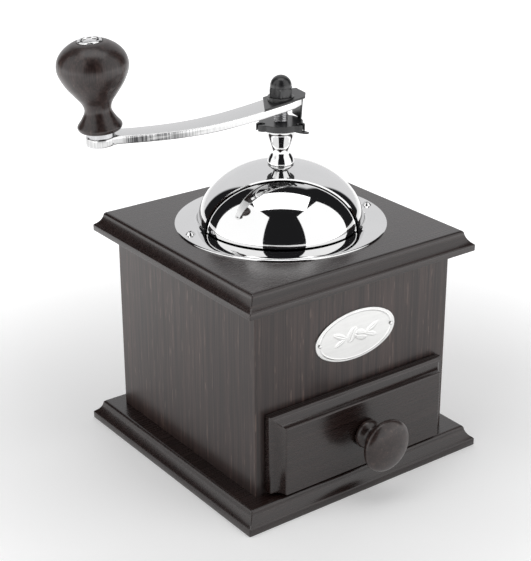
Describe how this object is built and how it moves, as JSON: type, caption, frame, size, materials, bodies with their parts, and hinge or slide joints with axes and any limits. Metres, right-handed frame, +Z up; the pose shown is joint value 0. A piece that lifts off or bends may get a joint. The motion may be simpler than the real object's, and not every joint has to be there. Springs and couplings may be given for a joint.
{
  "type": "burr coffee grinder",
  "caption": "Box coffee mill: dark wooden case with a moulded drawer, chrome dome with a turning shutter, conical burrs and a hand crank with a turned knob.",
  "frame": {"origin": "centre of the base board's underside, on the spindle's axis", "axes": "+Z up along the spindle, -Y towards the drawer's front, +X to the right of someone facing the drawer"},
  "size_m": [0.1768, 0.1564, 0.2164],
  "materials": {
    "case_wood": "satin dark stained beech",
    "turned_wood": "satin dark stained turned beech",
    "tray_wood": "plain sanded beech",
    "chromed_sheet": "mirror chrome",
    "polished_arm": "polished",
    "blackened_steel": "satin black",
    "badge_steel": "satin",
    "plain_steel": "zinc plated",
    "burr_steel": "hardened",
    "housing_iron": "as cast",
    "bush_bronze": "satin"
  },
  "bodies": {
    "case": {"base_board": "case_wood", "left_wall": "case_wood", "right_wall": "case_wood", "front_wall": "case_wood", "rear_wall": "case_wood", "top_board": "case_wood", "drawer_runners": "tray_wood", "base_screws": "plain_steel", "badge_plate": "badge_steel", "badge_pins": "badge_steel", "hood": "chromed_sheet", "flange_screws": "chromed_sheet", "hopper_bowl": "plain_steel", "upper_bridge": "plain_steel", "upper_bush": "bush_bronze", "burr_housing": "housing_iron", "housing_screws": "plain_steel", "outer_burr": "burr_steel", "lower_bridge": "plain_steel", "lower_bush": "bush_bronze", "bridge_screws": "plain_steel", "column": "chromed_sheet"},
    "drawer": {"drawer_front": "case_wood", "drawer_left_side": "tray_wood", "drawer_right_side": "tray_wood", "drawer_back": "tray_wood", "drawer_bottom": "tray_wood", "drawer_knob": "turned_wood", "drawer_knob_screw": "plain_steel"},
    "shutter": {"dome_shutter": "chromed_sheet"},
    "crank": {"spindle": "plain_steel", "inner_burr": "burr_steel", "burr_nut": "plain_steel", "spring_washer": "plain_steel", "spindle_spring": "plain_steel", "adjusting_wheel": "blackened_steel", "crank_arm": "polished_arm", "lock_clip": "blackened_steel", "acorn_nut": "blackened_steel", "knob_pin": "chromed_sheet", "knob_washer": "plain_steel"},
    "knob": {"crank_knob": "turned_wood", "knob_ferrule": "chromed_sheet"}
  },
  "joints": [
    {"name": "crank_spin", "type": "hinge", "parent": "case", "child": "crank", "pos_m": [0, 0, 0.15], "axis": [0, 0, 1], "continuous": true},
    {"name": "knob_spin", "type": "hinge", "parent": "crank", "child": "knob", "pos_m": [-0.0886, 0.01403, 0.17255], "axis": [-0.0741, 0.0117, 0.9972], "continuous": true},
    {"name": "drawer_slide", "type": "slide", "parent": "case", "child": "drawer", "axis": [0, -1, 0], "range_m": [0, 0.085]},
    {"name": "shutter_turn", "type": "hinge", "parent": "case", "child": "shutter", "pos_m": [0, 0, 0.14], "axis": [0, 0, 1], "range_deg": [0, 150]}
  ]
}
